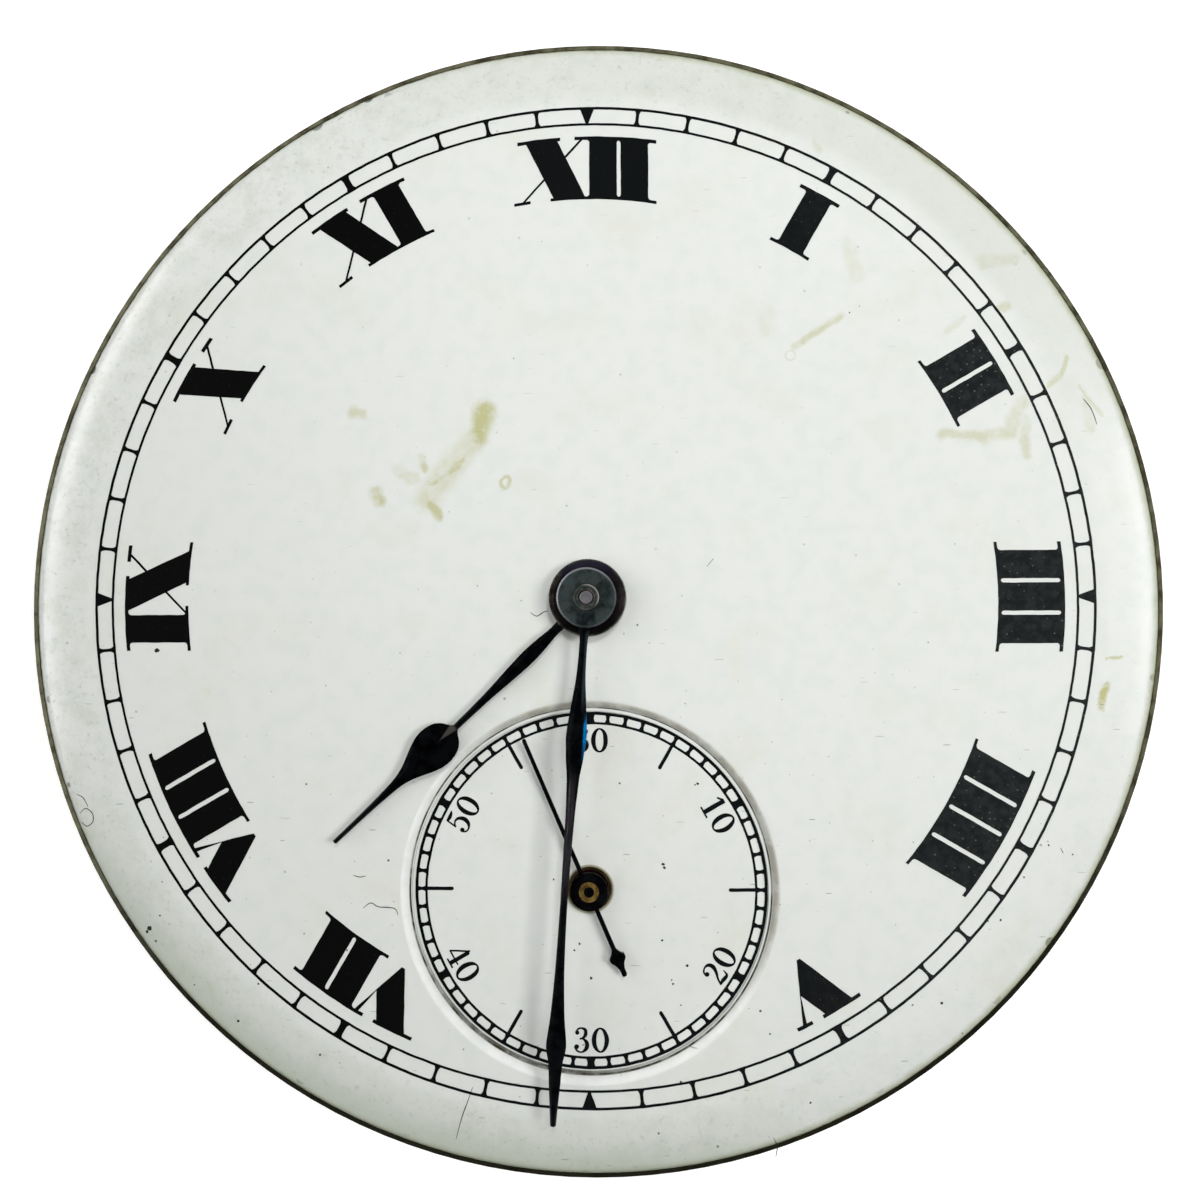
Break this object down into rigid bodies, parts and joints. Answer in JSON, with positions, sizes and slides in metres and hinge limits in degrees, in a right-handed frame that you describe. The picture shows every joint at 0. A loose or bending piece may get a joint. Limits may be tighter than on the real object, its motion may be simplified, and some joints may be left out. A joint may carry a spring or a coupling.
{
  "type": "pocket watch dial with hands and motion work",
  "caption": "Round white enamelled dial with a sunk seconds dial, three hands and the geared motion work that turns them, on its pillar plate.",
  "frame": {"origin": "on the axis of the hands, at the face that the pillars stand on", "axes": "+Z out of the dial face along the hands' axis, +Y to 12 o'clock, +X to 3 o'clock"},
  "size_m": [0.044, 0.044, 0.008],
  "materials": {
    "plate_nickel": "grained nickel plate",
    "dial_copper": "old darkened copper",
    "dial_enamel": "old fired enamel, glossy",
    "counter_enamel": "rough grey fired enamel",
    "solder": "dull tin solder",
    "blued_steel": "blued to near black, polished",
    "polished_steel": "polished steel",
    "brass": "polished brass, a little tarnished",
    "jewel": "polished ruby"
  },
  "bodies": {
    "plate": {"pillar_plate": "plate_nickel", "pillars": "plate_nickel", "dial_copper": "dial_copper", "dial_enamel": "dial_enamel", "dial_counter_enamel": "counter_enamel", "seconds_dial_copper": "dial_copper", "seconds_dial_enamel": "dial_enamel", "seconds_dial_counter_enamel": "counter_enamel", "seconds_solder_ring": "solder", "dial_feet": "dial_copper", "dial_foot_screws": "blued_steel", "centre_bush": "brass", "seconds_jewel": "jewel", "seconds_jewel_setting": "brass", "jewel_setting_screws": "blued_steel", "minute_wheel_stud": "polished_steel"},
    "minute": {"centre_arbor": "polished_steel", "cannon_pinion": "polished_steel", "minute_hand": "blued_steel"},
    "hour": {"hour_wheel": "brass", "dial_washer": "brass", "hour_hand": "blued_steel"},
    "minute_wheel": {"minute_wheel": "brass", "minute_pinion": "polished_steel"},
    "seconds": {"seconds_arbor": "polished_steel", "seconds_hand_pipe": "brass", "seconds_hand": "blued_steel"}
  },
  "joints": [
    {"name": "minute_turn", "type": "hinge", "parent": "plate", "child": "minute", "pos_m": [0, 0, 0.0042], "axis": [0, 0, -1], "continuous": true},
    {"name": "hour_turn", "type": "hinge", "parent": "plate", "child": "hour", "pos_m": [0, 0, 0.0046], "axis": [0, 0, -1], "continuous": true},
    {"name": "minute_wheel_turn", "type": "hinge", "parent": "plate", "child": "minute_wheel", "pos_m": [0.00309, 0.00368, 0.0044], "axis": [0, 0, -1], "continuous": true},
    {"name": "seconds_turn", "type": "hinge", "parent": "plate", "child": "seconds", "pos_m": [0, -0.01127, 0.0045], "axis": [0, 0, -1], "continuous": true}
  ],
  "couplings": [
    {"joint": "hour_turn", "follows": "minute_turn", "ratio": 0.083333},
    {"joint": "minute_wheel_turn", "follows": "minute_turn", "ratio": -0.33333}
  ]
}
